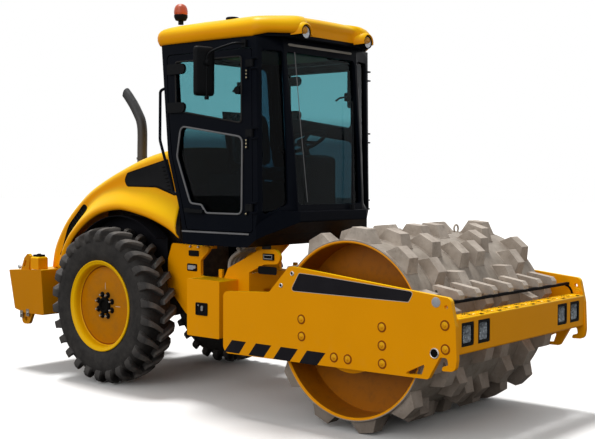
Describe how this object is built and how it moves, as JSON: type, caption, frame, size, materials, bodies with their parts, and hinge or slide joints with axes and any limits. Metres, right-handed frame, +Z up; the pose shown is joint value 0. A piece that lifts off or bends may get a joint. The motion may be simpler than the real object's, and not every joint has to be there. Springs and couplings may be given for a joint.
{
  "type": "pad-foot single-drum road roller",
  "caption": "Articulated soil compactor with a pad-foot steel drum in a yellow yoke, an enclosed cab, a hinged engine hood and lugged rear tyres.",
  "frame": {"origin": "on the ground under the middle of the overall length and width", "axes": "+X forward to the drum end, +Y to the machine's left, +Z up"},
  "size_m": [5.0793, 2.026, 3.2],
  "materials": {
    "amber": "amber lens on a dark base",
    "black_paint": "satin black enamel",
    "cast": "dark cast and machined steel",
    "fabric": "dark seat cloth",
    "glass": "teal tinted glass",
    "lamp": "clear lamp lens",
    "pad_steel": "pale primed steel with weld seams",
    "plastic": "matt black plastic",
    "rubber": "matt black rubber",
    "steel": "bright steel",
    "tail_lamp": "yellow lamp box with a black cap",
    "tyre": "matt black rubber",
    "yellow": "gloss yellow enamel"
  },
  "bodies": {
    "rear_frame": {"left_rail": "yellow", "right_rail": "yellow", "hitch_bulkhead": "yellow", "frame_plates": "yellow", "counterweight": "yellow", "tail_lamps": "tail_lamp", "rear_axle": "cast", "engine": "cast", "arch_liners": "plastic", "battery_boxes": "yellow", "cab_mounts": "rubber", "hoses": "rubber", "cab_base": "black_paint", "cab_frame": "black_paint", "windshield": "glass", "quarter_glass": "glass", "rear_glass": "glass", "roof": "yellow", "roof_lamps": "lamp", "beacon": "amber", "handrails": "black_paint", "wiper": "plastic", "seat_base": "plastic", "seat_cushions": "fabric", "console": "plastic", "steering_wheel": "plastic"},
    "left_door": {"left_door": "black_paint", "left_door_glass": "glass", "left_door_hardware": "plastic", "left_mirror": "plastic"},
    "right_door": {"right_door": "black_paint", "right_door_glass": "glass", "right_door_hardware": "plastic", "right_mirror": "plastic"},
    "hood": {"hood": "yellow", "hood_panels": "plastic", "exhaust": "cast"},
    "left_wheel": {"left_tire": "tyre", "left_rim": "yellow"},
    "right_wheel": {"right_tire": "tyre", "right_rim": "yellow"},
    "hitch": {"hitch_link": "cast"},
    "left_steer_barrel": {"left_steer_barrel": "black_paint"},
    "left_steer_rod": {"left_steer_rod": "steel"},
    "right_steer_barrel": {"right_steer_barrel": "black_paint"},
    "right_steer_rod": {"right_steer_rod": "steel"},
    "front_frame": {"left_side_plate": "yellow", "right_side_plate": "yellow", "front_beam": "yellow", "headlamps": "lamp", "rear_crossmember": "yellow", "scrapers": "pad_steel", "scraper_bar": "black_paint", "drum_supports": "yellow", "drum_buffers": "rubber", "drum_journals": "cast"},
    "drum": {"drum_shell": "pad_steel", "drum_pads": "pad_steel"}
  },
  "joints": [
    {"name": "left_door_hinge", "type": "hinge", "parent": "rear_frame", "child": "left_door", "pos_m": [0.56, 0.714, 2], "axis": [0, 0, -1], "range_deg": [0, 85]},
    {"name": "right_door_hinge", "type": "hinge", "parent": "rear_frame", "child": "right_door", "pos_m": [0.56, -0.714, 2], "axis": [0, 0, 1], "range_deg": [0, 85]},
    {"name": "hood_hinge", "type": "hinge", "parent": "rear_frame", "child": "hood", "pos_m": [-2.225, 0, 0.946], "axis": [0, -1, 0], "range_deg": [0, 50]},
    {"name": "left_wheel_spin", "type": "hinge", "parent": "rear_frame", "child": "left_wheel", "pos_m": [-1.09, 0.705, 0.67], "axis": [0, 1, 0], "continuous": true},
    {"name": "right_wheel_spin", "type": "hinge", "parent": "rear_frame", "child": "right_wheel", "pos_m": [-1.09, -0.705, 0.67], "axis": [0, 1, 0], "continuous": true},
    {"name": "steering", "type": "hinge", "parent": "rear_frame", "child": "hitch", "pos_m": [0.38, 0, 0.7], "axis": [0, 0, 1], "range_deg": [-35, 35]},
    {"name": "oscillation", "type": "hinge", "parent": "hitch", "child": "front_frame", "pos_m": [0.755, 0, 0.7], "axis": [1, 0, 0], "range_deg": [-10, 10]},
    {"name": "drum_spin", "type": "hinge", "parent": "front_frame", "child": "drum", "pos_m": [1.601, 0, 0.716], "axis": [0, 1, 0], "continuous": true},
    {"name": "left_steer_barrel_swing", "type": "hinge", "parent": "rear_frame", "child": "left_steer_barrel", "pos_m": [-0.06, 0.33, 0.64], "axis": [0, 0, 1], "range_deg": [-5.14, 5.14]},
    {"name": "left_steer_rod_slide", "type": "slide", "parent": "left_steer_barrel", "child": "left_steer_rod", "axis": [0.9421, -0.3353, 0], "range_m": [-0.09602, 0.09602]},
    {"name": "right_steer_barrel_swing", "type": "hinge", "parent": "rear_frame", "child": "right_steer_barrel", "pos_m": [-0.06, -0.33, 0.64], "axis": [0, 0, 1], "range_deg": [-5.14, 5.14]},
    {"name": "right_steer_rod_slide", "type": "slide", "parent": "right_steer_barrel", "child": "right_steer_rod", "axis": [0.9421, 0.3353, 0], "range_m": [-0.09602, 0.09602]}
  ],
  "couplings": [
    {"joint": "left_steer_barrel_swing", "follows": "steering", "ratio": 0.14677},
    {"joint": "left_steer_rod_slide", "follows": "steering", "m_per_rad": -0.15719},
    {"joint": "right_steer_barrel_swing", "follows": "steering", "ratio": 0.14677},
    {"joint": "right_steer_rod_slide", "follows": "steering", "m_per_rad": 0.15719}
  ]
}
